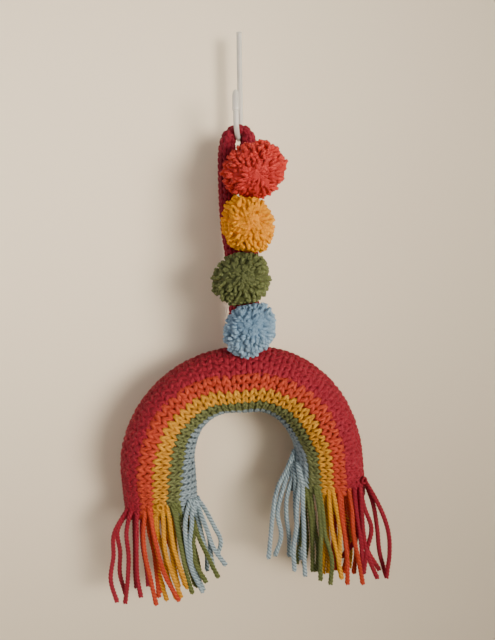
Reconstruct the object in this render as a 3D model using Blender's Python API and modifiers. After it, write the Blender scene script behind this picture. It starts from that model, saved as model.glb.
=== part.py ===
"""A knitted rainbow: a stuffed arch with two fringed feet, four pompoms and a knitted hanging loop.

It hangs over the wire hook that is built with it. Metres, +Z up, the front faces -Y, and the
origin is the top of the hook's shank. The yarn's stitches are left smooth here: the arch is
one filled solid, and every pompom and every colour of the fringe has its own locks or strands.
"""
import math

import bmesh
import bpy
import numpy as np

MM = 0.001
GAP = 0.3 * MM

# Hook: one bent steel wire with a moulded cap on its tip
WIRE = 3.3 * MM
SHANK_TOP = 0.0
HOOK_BOTTOM = -68.0 * MM
HOOK_REACH = 19.0 * MM
HOOK_TURN = math.radians(4)
CAP_FOOT = -53.4 * MM
CAP_TOP = -40.6 * MM
CAP_RADIUS = 2.15 * MM

# The loop, the arch and the fringe hang in one plane under the middle of the hook's bend
HANG_Y = -0.5 * HOOK_REACH

# Hanging loop: middle of the cord, and half its size across and front to back
STITCH_ROW = 4.2 * MM
SCALLOP = 0.07
LOOP_COLUMNS = ("x", "z", "half_across", "half_deep")
LOOP_ROWS_MM = (
    (-5.3, -195.7, 4.5, 4.7),
    (-4.9, -171.0, 4.5, 4.7),
    (-5.8, -140.0, 4.7, 4.8),
    (-7.9, -124.0, 4.9, 4.8),
    (-8.4, -105.0, 5.0, 4.8),
    (-7.9, -82.0, 5.0, 4.8),
    (-7.1, -70.8, 4.0, 4.9),
    (-4.5, -64.8, 2.8, 5.1),
    (0.4, -63.2, 2.6, 5.3),
    (4.4, -65.6, 2.9, 5.1),
    (5.9, -71.5, 4.0, 4.9),
    (5.4, -82.0, 4.9, 4.8),
    (5.4, -105.0, 5.0, 4.8),
    (5.6, -137.0, 4.8, 4.8),
    (6.2, -169.0, 4.6, 4.7),
    (7.3, -195.7, 4.5, 4.7),
)

# Arch: each section stands on a ray from the arch's centre, and may drop straight below it
ARCH_X = -2.0 * MM
ARCH_Z = -270.0 * MM
ARCH_SECTIONS = 64
ARCH_SIDES = 24
ARCH_COLUMNS = ("turn_degrees", "middle", "half_wide", "half_deep", "drop", "squareness")
ARCH_ROWS_MM = (
    (184, 49.0, 25.5, 6.4, 28.0, 3.0),
    (182, 50.6, 24.0, 12.5, 20.0, 2.4),
    (180, 52.0, 23.6, 18.0, 9.0, 2.0),
    (176, 52.6, 23.4, 20.3, 0.0, 2.0),
    (158, 52.8, 22.3, 20.6, 0.0, 2.0),
    (135, 53.6, 20.5, 20.0, 0.0, 2.0),
    (112, 53.6, 20.0, 19.8, 0.0, 2.0),
    (88, 53.2, 20.9, 20.4, 0.0, 2.0),
    (62, 56.0, 20.6, 20.2, 0.0, 2.0),
    (38, 55.7, 20.8, 20.2, 0.0, 2.0),
    (16, 54.5, 20.8, 20.4, 0.0, 2.0),
    (4, 53.7, 21.6, 18.4, 0.0, 2.0),
    (-2, 52.6, 23.6, 12.5, 8.0, 2.4),
    (-4, 51.3, 25.5, 6.4, 15.0, 3.0),
)

# Size of the crown and of the loop, for what lies beside the pompoms
CROWN_MIDDLE = 53.2 * MM
CROWN_RADIUS = 20.9 * MM
LOOP_RADIUS = 4.9 * MM

# Pompoms, top to bottom: a round core with yarn locks, each pressed a little by its neighbours
CORE = 10.4 * MM
LOCK_INSET = 0.6 * MM
LOCK_SHORTEST = 1.5 * MM
LOCK_PROFILE = ((0.6, 1.25), (1.0, 1.0))
LOCK_ROOM = 1.0 * MM
BARE_BACK = math.cos(math.radians(62))
POMPOM_COLUMNS = ("colour", "x", "z", "half_wide", "half_high")
POMPOM_ROWS_MM = (
    ("orange", 8.3, -89.1, 19.2, 17.8),
    ("yellow", 4.3, -121.7, 16.6, 17.6),
    ("green", 0.1, -154.4, 18.2, 17.3),
    ("blue", 4.4, -185.3, 16.5, 16.6),
)
POMPOM_HALF_DEEP = 17.0 * MM

# Fringe: six strands a colour, in two files of three, from x at the foot to x and z at the tips
STRAND = 2.3 * MM
STRIP_HIGH = 2.6 * MM
STRIP_DEEP = 10.5 * MM
STRAND_RINGS = 6
FILES = 2
LAYERS = 3
TIP_SPLAY = 4.6 * MM
TIP_LEAN = 2.6 * MM
FRINGE_COLUMNS = (
    "leg", "colour", "root_from", "root_to", "tip_first", "tip_second",
    "bow_first", "bow_second", "lowest",
)
FRINGE_ROWS_MM = (
    ("left", "red", -76.4, -66.2, -79.5, -68.3, -6.0, -1.5, -354.0),
    ("left", "orange", -66.2, -56.0, -59.0, -51.5, -1.5, -0.5, -354.5),
    ("left", "yellow", -56.0, -47.0, -46.0, -40.6, 0.0, 0.5, -352.5),
    ("left", "green", -47.0, -37.0, -34.5, -27.5, 0.5, 1.0, -348.0),
    ("left", "blue", -37.0, -25.7, -22.4, -15.2, 1.0, 4.0, -342.0),
    ("right", "blue", 24.1, 35.0, 15.8, 28.5, -3.5, -2.0, -333.5),
    ("right", "green", 35.0, 45.2, 36.5, 43.8, -1.0, 0.0, -340.0),
    ("right", "yellow", 45.2, 55.0, 49.8, 56.0, 0.0, 0.5, -340.5),
    ("right", "orange", 55.0, 64.6, 61.5, 68.0, 0.5, 1.0, -343.0),
    ("right", "red", 64.6, 74.6, 75.0, 84.0, 1.5, 5.5, -340.0),
)

COLOURS = {
    "red": (0.33, 0.022, 0.035),
    "orange": (0.62, 0.075, 0.027),
    "yellow": (0.72, 0.33, 0.035),
    "green": (0.14, 0.175, 0.033),
    "blue": (0.27, 0.40, 0.52),
}
YARN_ROUGHNESS = 0.9
ENAMEL = (0.62, 0.58, 0.50)
ENAMEL_ROUGHNESS = 0.35


def columns(names, rows):
    """One numpy array for each named column, lengths still in millimetres."""
    return {name: np.array([row[i] for row in rows]) for i, name in enumerate(names)}


def smooth(values, count):
    """A smooth curve through the values, read at evenly spaced places."""
    values = np.asarray(values, float)
    ends = np.concatenate([[2 * values[0] - values[1]], values, [2 * values[-1] - values[-2]]])
    place = np.linspace(0, len(values) - 1, count)
    step = np.minimum(place.astype(int), len(values) - 2)
    t = place - step
    a, b, c, d = (ends[step + i] for i in range(4))
    return 0.5 * (
        2 * b + (c - a) * t + (2 * a - 5 * b + 4 * c - d) * t**2 + (3 * b - a - 3 * c + d) * t**3
    )


def wobble(*numbers):
    """A fixed value between -1 and 1 for each set of numbers, in place of a random one."""
    mixed = math.sin(sum((k + 1) * 12.9898 * n for k, n in enumerate(numbers)) + 4.1) * 43758.5453
    return 2 * (mixed - math.floor(mixed)) - 1


def principled(name, colour, roughness, metallic=0.0):
    material = bpy.data.materials.get(name)
    if material is None:
        material = bpy.data.materials.new(name)
        material.use_nodes = True
        shader = material.node_tree.nodes["Principled BSDF"]
        shader.inputs["Base Color"].default_value = (*colour, 1)
        shader.inputs["Roughness"].default_value = roughness
        shader.inputs["Metallic"].default_value = metallic
    return material


def yarn(colour):
    return principled("yarn_" + colour, COLOURS[colour], YARN_ROUGHNESS)


def add_object(name, data, material, collection):
    data.materials.append(material)
    obj = bpy.data.objects.new(name, data)
    collection.objects.link(obj)
    return obj


def add_bmesh(name, bm, material, collection):
    bmesh.ops.recalc_face_normals(bm, faces=bm.faces)
    mesh = bpy.data.meshes.new(name)
    bm.to_mesh(mesh)
    bm.free()
    mesh.shade_smooth()
    mesh.set_sharp_from_angle(angle=math.radians(50))
    return add_object(name, mesh, material, collection)


def loft(rings):
    """A closed solid through the rings, an array of sections by points by three."""
    sides = rings.shape[1]
    bm = bmesh.new()
    points = [[bm.verts.new(point) for point in ring] for ring in rings]
    for low, high in zip(points, points[1:]):
        for i in range(sides):
            j = (i + 1) % sides
            bm.faces.new((low[i], low[j], high[j], high[i]))
    bm.faces.new(points[0][::-1])
    bm.faces.new(points[-1])
    return bm


def build_hook(collection):
    """The bent wire: down the shank, round a half circle and up to the foot of the cap."""
    bend = 0.5 * HOOK_REACH
    bend_z = HOOK_BOTTOM + bend
    steps = 14
    angles = [math.pi * i / steps for i in range(steps + 1)]
    arc = [(bend * math.cos(a) - bend, bend_z - bend * math.sin(a)) for a in angles]
    route = [(0.0, SHANK_TOP), *arc, (-HOOK_REACH, CAP_FOOT - GAP)]
    curve = bpy.data.curves.new("hook", "CURVE")
    curve.dimensions = "3D"
    curve.bevel_depth = 0.5 * WIRE
    curve.bevel_resolution = 2
    curve.use_fill_caps = True
    spline = curve.splines.new("POLY")
    spline.points.add(len(route) - 1)
    for point, (y, z) in zip(spline.points, route):
        x = y * math.tan(HOOK_TURN)
        point.co = (x, y, z, 1)
    enamel = principled("enamel", ENAMEL, ENAMEL_ROUGHNESS)
    add_object("hook", curve, enamel, collection)


def build_hook_cap(collection):
    """The rounded cap on the wire's tip: a profile turned about the front arm."""
    rise = (0.0, 0.04, 0.16, 0.45, 0.72, 0.88, 0.97, 1.0)
    share = (0.62, 0.86, 1.0, 1.0, 0.97, 0.80, 0.45, 0.0)
    bm = bmesh.new()
    high = CAP_TOP - CAP_FOOT
    profile = [bm.verts.new((0, 0, 0))]
    profile += [bm.verts.new((CAP_RADIUS * r, 0, high * u)) for u, r in zip(rise, share)]
    for a, b in zip(profile, profile[1:]):
        bm.edges.new((a, b))
    mesh = bpy.data.meshes.new("hook_cap")
    bm.to_mesh(mesh)
    bm.free()
    cap = add_object("hook_cap", mesh, principled("enamel", ENAMEL, ENAMEL_ROUGHNESS), collection)
    cap.location = (-HOOK_REACH * math.tan(HOOK_TURN), -HOOK_REACH, CAP_FOOT)
    turn = cap.modifiers.new("turn", "SCREW")
    turn.steps = 14
    turn.render_steps = 14
    turn.use_merge_vertices = True
    turn.merge_threshold = 0.00001
    turn.use_normal_calculate = True


def build_loop(collection):
    """The knitted cord: from the crown up over the hook and down again, one solid.

    A section is an ellipse across the cord's own direction, and the rows of stitches make
    its sides swell in and out.
    """
    table = columns(LOOP_COLUMNS, LOOP_ROWS_MM)
    fine = {name: smooth(values, 800) * MM for name, values in table.items()}
    step = np.hypot(np.diff(fine["x"]), np.diff(fine["z"]))
    along = np.concatenate([[0], np.cumsum(step)])
    rows = round(along[-1] / STITCH_ROW)
    place = np.linspace(0, along[-1], 2 * rows + 1)
    x, z, across, deep = (np.interp(place, along, fine[name]) for name in LOOP_COLUMNS)
    direction = np.stack([np.gradient(x), np.gradient(z)], 1)
    direction /= np.linalg.norm(direction, axis=1)[:, None]
    swell = 1 - SCALLOP * np.cos(math.pi * np.arange(len(place)))
    around = np.linspace(0, 2 * math.pi, 8, endpoint=False) + math.pi / 8
    side = (across * swell)[:, None] * np.cos(around)
    rings = np.empty((len(place), len(around), 3))
    rings[..., 0] = x[:, None] - side * direction[:, 1:]
    rings[..., 1] = HANG_Y + (deep * swell)[:, None] * np.sin(around)
    rings[..., 2] = z[:, None] + side * direction[:, :1]
    add_bmesh("hanging_loop", loft(rings), yarn("red"), collection)


def arch_sections():
    """Middle, ray and half sizes of every section of the arch, from the left foot to the right."""
    table = columns(ARCH_COLUMNS, ARCH_ROWS_MM)
    fine = {name: smooth(values, ARCH_SECTIONS) for name, values in table.items()}
    turn = np.radians(fine["turn_degrees"])
    ray = np.stack([np.cos(turn), np.sin(turn)], 1)
    middle = np.array([ARCH_X, ARCH_Z]) + ray * fine["middle"][:, None] * MM
    middle[:, 1] -= fine["drop"] * MM
    return middle, ray, fine["half_wide"] * MM, fine["half_deep"] * MM, fine["squareness"]


def build_arch(collection):
    """The stuffed tube: rounded sections that swell with the filling and are drawn flat at the feet."""
    middle, ray, wide, deep, squareness = arch_sections()
    around = np.linspace(0, 2 * math.pi, ARCH_SIDES, endpoint=False)
    power = (2 / squareness)[:, None]
    across = np.sign(np.cos(around)) * np.abs(np.cos(around)) ** power
    forward = np.sign(np.sin(around)) * np.abs(np.sin(around)) ** power
    place = np.arange(ARCH_SECTIONS)[:, None]
    fill = 1 + 0.012 * np.sin(0.9 * place + 2 * around) * np.sin(0.37 * place)
    rings = np.empty((ARCH_SECTIONS, ARCH_SIDES, 3))
    side = wide[:, None] * across * fill
    rings[..., 0] = middle[:, :1] + side * ray[:, :1]
    rings[..., 1] = HANG_Y + deep[:, None] * forward * fill
    rings[..., 2] = middle[:, 1:] + side * ray[:, 1:]
    add_bmesh("arch", loft(rings), yarn("red"), collection)


def loop_middle(z, left):
    """x of the middle of the loop's left or right side at this height."""
    table = columns(LOOP_COLUMNS, LOOP_ROWS_MM)
    top = int(np.argmax(table["z"]))
    rows = slice(0, top + 1) if left else slice(top, None)
    level = table["z"][rows] * MM
    across = table["x"][rows] * MM
    order = np.argsort(level)
    return float(np.interp(z, level[order], across[order]))


def pompom_centres():
    """Each pompom's centre: its core rests on the nearer side of the loop, from the front."""
    centres = []
    reach = CORE + LOOP_RADIUS + GAP
    for _, x, z, _, _ in POMPOM_ROWS_MM:
        sides = [x * MM - loop_middle(z * MM, left) for left in (True, False)]
        offset = max(math.sqrt(max(reach**2 - side**2, 0)) for side in sides)
        centres.append(np.array([x * MM, HANG_Y - offset, z * MM]))
    return centres


def free_length(centre, out, length, others):
    """The lock's length along out, cut back until its tip is clear of what lies beside it."""
    crown_z = ARCH_Z + CROWN_MIDDLE
    for other in others:
        apart = other - centre
        between = np.linalg.norm(apart)
        towards = out @ apart / between
        if towards > 0:
            length = min(length, (0.5 * between - LOCK_ROOM) / towards)
    while length > CORE:
        tip = centre + out * length
        sides = [
            math.hypot(tip[0] - loop_middle(tip[2], left), tip[1] - HANG_Y) for left in (True, False)
        ]
        to_arch = math.hypot(tip[1] - HANG_Y, tip[2] - crown_z) - CROWN_RADIUS
        if min(min(sides) - LOOP_RADIUS, to_arch) > 1.6 * LOCK_ROOM:
            break
        length -= 0.25 * MM
    return length


def build_pompom(colour, centre, half_wide, half_high, others, collection):
    """A faceted core with a three-sided lock drawn out of each face that isn't against the loop."""
    bm = bmesh.new()
    bmesh.ops.create_icosphere(bm, subdivisions=2, radius=CORE)
    bmesh.ops.translate(bm, verts=bm.verts, vec=centre)
    bm.faces.ensure_lookup_table()
    half = np.array([half_wide, POMPOM_HALF_DEEP, half_high])
    for number, face in enumerate(list(bm.faces)):
        out = np.array(face.calc_center_median()) - centre
        root = np.linalg.norm(out)
        out /= root
        if out[1] > BARE_BACK:
            continue
        length = 1 / np.linalg.norm(out / half) * (1 + 0.045 * wobble(number, half_wide / MM))
        length = free_length(centre, out, length, others)
        if length < root + LOCK_SHORTEST:
            continue
        bmesh.ops.inset_individual(bm, faces=[face], thickness=LOCK_INSET)
        base = [np.array(vert.co) - centre - out * root for vert in face.verts]
        for share, spread in LOCK_PROFILE:
            drawn = bmesh.ops.extrude_discrete_faces(bm, faces=[face])
            face = drawn["faces"][0]
            reach = root + (length - root) * share
            for vert, offset in zip(face.verts, base):
                vert.co = centre + out * reach + offset * spread
    add_bmesh("pompom_" + colour, bm, yarn(colour), collection)


def build_pompoms(collection):
    centres = pompom_centres()
    for i, (colour, _, _, half_wide, half_high) in enumerate(POMPOM_ROWS_MM):
        others = [centre for k, centre in enumerate(centres) if abs(k - i) == 1]
        build_pompom(colour, centres[i], half_wide * MM, half_high * MM, others, collection)


def strand_shift(row, file, layer, t):
    """How far a strand has moved sideways and forward from its root at the share t of its length.

    The strand leaves straight, bows sideways, and its tip leans with its layer: the front
    layer to the left and forward, the back one to the right and back.
    """
    _, _, root_from, root_to, first, second, bow_first, bow_second, _ = row
    tip, bow = ((first, bow_first), (second, bow_second))[file]
    root = root_from + (root_to - root_from) * (file + 0.5) / FILES
    lean = (layer - 1) * TIP_LEAN
    sway = 0.7 * MM * wobble(file, layer, root_from) * math.sin(2 * math.pi * t)
    fan = ((tip - root) * MM + lean) * (0.35 * t + 0.65 * t * t)
    x = fan + bow * MM * math.sin(math.pi * t) + sway
    y = (layer - 1) * TIP_SPLAY * t
    return x, y


def build_fringe(row, foot, collection):
    """A strip under the foot in one colour, with its strands drawn out of its underside."""
    leg, colour, root_from, root_to, *_, lowest = row
    middle, ray = foot
    lean = ray[1] / ray[0]
    wide = (root_to - root_from) * MM - GAP
    strip_x = 0.5 * (root_from + root_to) * MM
    bm = bmesh.new()
    bmesh.ops.create_grid(bm, x_segments=FILES, y_segments=LAYERS, size=0.5)
    cells = sorted(bm.faces, key=lambda f: (round(f.calc_center_median().x, 3), f.calc_center_median().y))
    grown = bmesh.ops.extrude_face_region(bm, geom=list(bm.faces), use_keep_orig=True)
    upper = [item for item in grown["geom"] if isinstance(item, bmesh.types.BMVert)]
    bmesh.ops.translate(bm, verts=upper, vec=(0, 0, 1))
    for vert in bm.verts:
        x = strip_x + vert.co.x * wide
        top = middle[1] + (x - middle[0]) * lean - GAP
        vert.co = (x, HANG_Y + vert.co.y * STRIP_DEEP, top - STRIP_HIGH * (1 - vert.co.z))
    for number, cell in enumerate(cells):
        file, layer = divmod(number, LAYERS)
        edge_x = wide / FILES - STRAND
        edge_y = STRIP_DEEP / LAYERS - STRAND
        bmesh.ops.inset_individual(bm, faces=[cell], thickness=0.2 * min(edge_x, edge_y))
        centre = np.array(cell.calc_center_median())
        corners = [np.sign(np.array(vert.co)[:2] - centre[:2]) for vert in cell.verts]
        length = centre[2] - lowest * MM - (2.5 + 2.5 * wobble(file, layer, root_to)) * MM
        face = cell
        for ring in range(1, STRAND_RINGS + 1):
            t = ring / STRAND_RINGS
            x, y = strand_shift(row, file, layer, t)
            drawn = bmesh.ops.extrude_discrete_faces(bm, faces=[face])
            face = drawn["faces"][0]
            half = 0.5 * STRAND * (1 - 0.2 * (ring == STRAND_RINGS))
            for vert, corner in zip(face.verts, corners):
                vert.co = (
                    centre[0] + x + corner[0] * half,
                    centre[1] + y + corner[1] * half,
                    centre[2] - length * t,
                )
    add_bmesh("fringe_{}_{}".format(leg, colour), bm, yarn(colour), collection)


def build_fringes(collection):
    middle, ray, _, _, _ = arch_sections()
    feet = {"left": (middle[0], ray[0]), "right": (middle[-1], ray[-1])}
    for row in FRINGE_ROWS_MM:
        build_fringe(row, feet[row[0]], collection)


def clear_scene():
    for obj in list(bpy.data.objects):
        bpy.data.objects.remove(obj, do_unlink=True)


def main():
    clear_scene()
    collection = bpy.data.collections.new("knitted_rainbow")
    bpy.context.scene.collection.children.link(collection)
    build_hook(collection)
    build_hook_cap(collection)
    build_loop(collection)
    build_arch(collection)
    build_pompoms(collection)
    build_fringes(collection)


main()
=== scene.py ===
"""Looks of the knitted rainbow: stitches, plied yarn, pompoms, the enamelled hook and the light."""
import math

import bpy
import numpy as np
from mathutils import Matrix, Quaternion, Vector


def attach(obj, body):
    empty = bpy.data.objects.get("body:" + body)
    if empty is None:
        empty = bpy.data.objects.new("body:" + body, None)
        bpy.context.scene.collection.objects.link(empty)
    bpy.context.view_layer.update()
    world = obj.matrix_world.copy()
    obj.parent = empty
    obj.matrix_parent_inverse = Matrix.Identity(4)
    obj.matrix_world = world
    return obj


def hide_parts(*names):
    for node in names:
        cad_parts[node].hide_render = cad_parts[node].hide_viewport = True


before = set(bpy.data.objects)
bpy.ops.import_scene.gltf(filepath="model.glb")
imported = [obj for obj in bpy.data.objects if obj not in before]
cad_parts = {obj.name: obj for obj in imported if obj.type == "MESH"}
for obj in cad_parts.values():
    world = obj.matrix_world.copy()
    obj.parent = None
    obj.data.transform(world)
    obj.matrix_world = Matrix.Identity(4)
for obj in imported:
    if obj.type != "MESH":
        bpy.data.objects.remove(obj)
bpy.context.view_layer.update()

MM = 0.001

# Camera: held about half a metre in front of the hanging, level with the lower two pompoms,
# and turned a little clockwise, as in the photograph.
IMAGE_HIGH = 640
FOCAL_PIXELS = 759
SENSOR = 36.0
eye = Vector((11.8, -480.0, -167.7)) * MM
target = Vector((2.7, -9.5, -180.0)) * MM
camera_roll = math.radians(0.9)
camera_data = bpy.data.cameras.new("camera")
camera_data.sensor_fit = "VERTICAL"
camera_data.sensor_width = SENSOR
camera_data.sensor_height = SENSOR
camera_data.lens = FOCAL_PIXELS / IMAGE_HIGH * SENSOR
camera = bpy.data.objects.new("camera", camera_data)
camera.rotation_mode = "QUATERNION"
camera.location = eye
facing = (target - eye).to_track_quat("-Z", "Y")
camera.rotation_quaternion = facing @ Quaternion((0, 0, 1), -camera_roll)
bpy.context.scene.collection.objects.link(camera)
bpy.context.scene.camera = camera


# Hook: one bent steel wire under glossy off-white enamel, with a moulded cap pushed on its tip.
# It is plain and smooth, and its shank ends where the rack would carry it.
HANG_Y = -9.5 * MM
WIRE_RADIUS = 1.65 * MM
HOOK_REACH = 19.0 * MM
HOOK_BOTTOM = -68.0 * MM
HOOK_TURN = math.radians(6.5)
CAP_FOOT = -53.4 * MM
CAP_TOP = -40.6 * MM
CAP_RADIUS = 2.15 * MM
CAP_GRIP = 0.4 * MM
HOOK_SIDES = 24
# Shares of the cap's height, and of its radius there: a straight barrel with a domed top
CAP_RISE = np.array([0.0, 0.02, 0.07, 0.16, 0.3, 0.5, 0.7, 0.82, 0.91, 0.97, 0.995, 1.0])
CAP_GIRTH = np.array([0.80, 0.92, 0.99, 1.0, 1.0, 0.99, 0.96, 0.88, 0.72, 0.45, 0.18, 0.02])


def ring_faces(rings, sides):
    """Quads from each closed ring of points to the next, and the caps on the first and the last."""
    row = np.arange(rings - 1)[:, None] * sides
    j = np.arange(sides)
    k = (j + 1) % sides
    quads = np.stack([row + j, row + k, row + sides + k, row + sides + j], -1).reshape(-1, 4)
    return quads, np.stack([j[::-1], j + (rings - 1) * sides])


def unit(vectors):
    """The vectors divided by their lengths."""
    return vectors / np.linalg.norm(vectors, axis=-1, keepdims=True)


def path_frame(path, side):
    """Along each path: the length so far, side made square to it, and what is square to both."""
    ahead = unit(np.gradient(path, axis=1))
    across = unit(side - (side * ahead).sum(2, keepdims=True) * ahead)
    step = np.linalg.norm(np.diff(path, axis=1), axis=2)
    along = np.concatenate([np.zeros((len(path), 1)), np.cumsum(step, axis=1)], axis=1)
    return along, across, np.cross(ahead, across)


def tubes(path, radius, side, sides, uv_shift=0.0):
    """Round tubes along many paths at once.

    path is curves by points by three, radius curves by points, and side a direction for each
    point that isn't along the path. Point (i, j) of a tube is the path's point i plus radius
    times cos(j) of the part of side that is square to the path, plus radius times sin(j) of
    the direction square to both. Returns points, quads, end caps and, for each corner, the
    length along the tube in metres and the share of the way round.
    """
    curves, count, _ = path.shape
    along, across, other = path_frame(path, side)
    turn = np.linspace(0, 2 * math.pi, sides, endpoint=False)
    ring = radius[:, :, None] * np.ones(sides)
    points = (
        path[:, :, None, :]
        + (ring * np.cos(turn))[..., None] * across[:, :, None, :]
        + (ring * np.sin(turn))[..., None] * other[:, :, None, :]
    )
    first = np.arange(curves)[:, None, None] * count * sides
    quads, caps = ring_faces(count, sides)
    quads = (first + quads).reshape(-1, 4)
    caps = (first + caps).reshape(-1, sides)
    quad_u = np.repeat(along + uv_shift, sides)[quads]
    j = np.arange(sides)
    quad_v = np.tile(np.stack([j, j + 1, j + 1, j], -1) / sides, (curves * (count - 1), 1))
    return points.reshape(-1, 3), quads, caps, np.stack([quad_u, quad_v], -1)


def add_mesh(name, points, quads, caps, uv=None, painted_shade=None):
    """A mesh object from arrays: quads, then caps, the quads' UV map, and each point's painted shade."""
    mesh = bpy.data.meshes.new(name)
    mesh.vertices.add(len(points))
    mesh.vertices.foreach_set("co", np.ascontiguousarray(points, np.float32).ravel())
    corners = np.concatenate([quads.ravel(), caps.ravel()])
    sizes = np.repeat([4, caps.shape[1]], [len(quads), len(caps)])
    mesh.loops.add(len(corners))
    mesh.loops.foreach_set("vertex_index", corners.astype(np.int32))
    mesh.polygons.add(len(sizes))
    begins = np.concatenate([[0], np.cumsum(sizes)[:-1]])
    mesh.polygons.foreach_set("loop_start", begins.astype(np.int32))
    mesh.polygons.foreach_set("loop_total", sizes.astype(np.int32))
    mesh.polygons.foreach_set("use_smooth", np.ones(len(sizes), bool))
    if uv is not None:
        flat = np.zeros((len(corners), 2), np.float32)
        flat[: quads.size] = uv.reshape(-1, 2)
        mesh.uv_layers.new(name="yarn").data.foreach_set("uv", flat.ravel())
    if painted_shade is not None:
        depth = mesh.attributes.new("painted_shade", "FLOAT", "POINT")
        depth.data.foreach_set("value", np.ascontiguousarray(painted_shade, np.float32).ravel())
    mesh.update()
    mesh.validate()
    obj = bpy.data.objects.new(name, mesh)
    bpy.context.scene.collection.objects.link(obj)
    return obj


def set_inputs(node, values):
    """Constant values for a node's own sockets, by their names."""
    for name, value in values.items():
        node.inputs[name].default_value = value


def new_material(name, roughness, sheen=0.0, coat=0.0, specular=0.5):
    """A Principled material with its constant values set on the shader's own sockets."""
    material = bpy.data.materials.new(name)
    material.use_nodes = True
    shader = material.node_tree.nodes["Principled BSDF"]
    set_inputs(shader, {"Roughness": roughness, "Specular IOR Level": specular})
    set_inputs(shader, {"Sheen Weight": sheen, "Sheen Roughness": 0.55})
    set_inputs(shader, {"Coat Weight": coat, "Coat Roughness": 0.12})
    return material, material.node_tree.nodes, material.node_tree.links, shader


def noise(nodes, links, scale, detail=2):
    """Cloudy noise on Object coordinates, so many clouds to a metre."""
    place = nodes.new("ShaderNodeTexCoord")
    clouds = nodes.new("ShaderNodeTexNoise")
    set_inputs(clouds, {"Scale": scale, "Detail": detail})
    links.new(place.outputs["Object"], clouds.inputs["Vector"])
    return clouds.outputs["Fac"]


def add_bump(nodes, links, height, shader, strength, distance):
    """Low relief on the shader's normal, from a height that goes from 0 to 1."""
    bump = nodes.new("ShaderNodeBump")
    set_inputs(bump, {"Strength": strength, "Distance": distance})
    links.new(height, bump.inputs["Height"])
    links.new(bump.outputs["Normal"], shader.inputs["Normal"])


def enamel_material():
    """Off-white enamel: cloudy where the paint is thick or thin, with a slightly wavy gloss."""
    material, nodes, links, shader = new_material("enamel", 0.22, coat=0.7)
    tint = nodes.new("ShaderNodeValToRGB")
    tint.color_ramp.elements[0].color = (0.50, 0.46, 0.39, 1)
    tint.color_ramp.elements[1].color = (0.70, 0.66, 0.58, 1)
    links.new(noise(nodes, links, 90, detail=4), tint.inputs["Fac"])
    links.new(tint.outputs["Color"], shader.inputs["Base Color"])
    add_bump(nodes, links, noise(nodes, links, 420), shader, 0.25, 0.2 * MM)
    return material


def hook_route():
    """Down the shank, round a half circle in depth, and up a little way into the cap."""
    bend = 0.5 * HOOK_REACH
    bend_z = HOOK_BOTTOM + bend
    turn = np.linspace(0, math.pi, 40)
    shank_z = np.linspace(0, bend_z, 30)[:-1]
    arm_z = np.linspace(bend_z, CAP_FOOT + CAP_GRIP, 6)[1:]
    y = np.concatenate([0 * shank_z, bend * np.cos(turn) - bend, 0 * arm_z - HOOK_REACH])
    z = np.concatenate([shank_z, bend_z - bend * np.sin(turn), arm_z])
    return np.stack([y * math.tan(HOOK_TURN), y, z], 1)[None]


enamel = enamel_material()
route = hook_route()
sideways = np.broadcast_to(np.array([1.0, 0, 0]), route.shape)
wire_radius = np.full(route.shape[:2], WIRE_RADIUS)
hook_wire = add_mesh("hook_wire", *tubes(route, wire_radius, sideways, HOOK_SIDES))
hook_wire.data.materials.append(enamel)
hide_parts("hook")
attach(hook_wire, "root")

cap_path = np.zeros((1, len(CAP_RISE), 3))
cap_path[..., 0] = -HOOK_REACH * math.tan(HOOK_TURN)
cap_path[..., 1] = -HOOK_REACH
cap_path[..., 2] = CAP_FOOT + (CAP_TOP - CAP_FOOT) * CAP_RISE
cap_side = np.broadcast_to(np.array([1.0, 0, 0]), cap_path.shape)
hook_tip = add_mesh("hook_tip", *tubes(cap_path, CAP_RADIUS * CAP_GIRTH[None], cap_side, HOOK_SIDES))
hook_tip.data.materials.append(enamel)
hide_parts("hook_cap")
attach(hook_tip, "root")


# Arch: a tube of stocking stitch in five stripes of plied yarn, stuffed firm and drawn in at its
# feet. The rows run the length of the arch, and the columns of stitches run round it.
ARCH_X = -2.0 * MM
ARCH_Z = -270.0 * MM
# Sections from foot to foot: the ray from the arch's centre in degrees, how far out the middle
# lies on it, half the width along it, half the depth, and how far the section hangs below it
ARCH_COLUMNS = ("turn", "middle", "half_wide", "half_deep", "drop")
ARCH_ROWS_MM = (
    (184, 50.8, 23.7, 6.4, 28.0),
    (182, 51.3, 23.3, 12.5, 20.0),
    (180, 52.0, 23.6, 18.0, 9.0),
    (176, 52.6, 23.4, 20.3, 0.0),
    (158, 52.8, 22.3, 20.6, 0.0),
    (135, 53.6, 20.5, 20.0, 0.0),
    (112, 53.6, 20.0, 19.8, 0.0),
    (88, 53.2, 20.9, 20.4, 0.0),
    (62, 56.0, 20.6, 20.2, 0.0),
    (38, 55.7, 20.8, 20.2, 0.0),
    (16, 54.5, 20.8, 20.4, 0.0),
    (4, 53.7, 21.6, 18.4, 0.0),
    (-2, 52.6, 23.6, 12.5, 8.0),
    (-4, 51.3, 25.5, 6.4, 15.0),
)
COLUMNS = 46
ROWS_ROUND = 28
ROW_TURN = 2 * math.pi / ROWS_ROUND
# A loop of yarn: how far its legs spread, and draw together halfway up, in stitches, and how far
# it reaches across the rows, in rows
STITCH_SPREAD = 0.26
STITCH_GATHER = 0.015
STITCH_REACH = 0.68
# How far under the table's surface the yarn's middle lies, how far it dives, and its radius as a
# share of a stitch's width, with the least and the most
STITCH_SINK = 1.32 * MM
YARN_DEPTH = 0.60 * MM
YARN_SHARE = 0.222
THIN_YARN = 0.74 * MM
THICK_YARN = 1.3 * MM
POINTS_A_STITCH = 16
YARN_SIDES = 6
# Share of the arch's length, and the angle of the line between orange and yellow there
STRIPE_LINE = ((0.0, 14), (0.1, 5), (0.25, -4), (0.5, -12), (0.72, -8), (0.88, 1), (1.0, 14))
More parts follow.
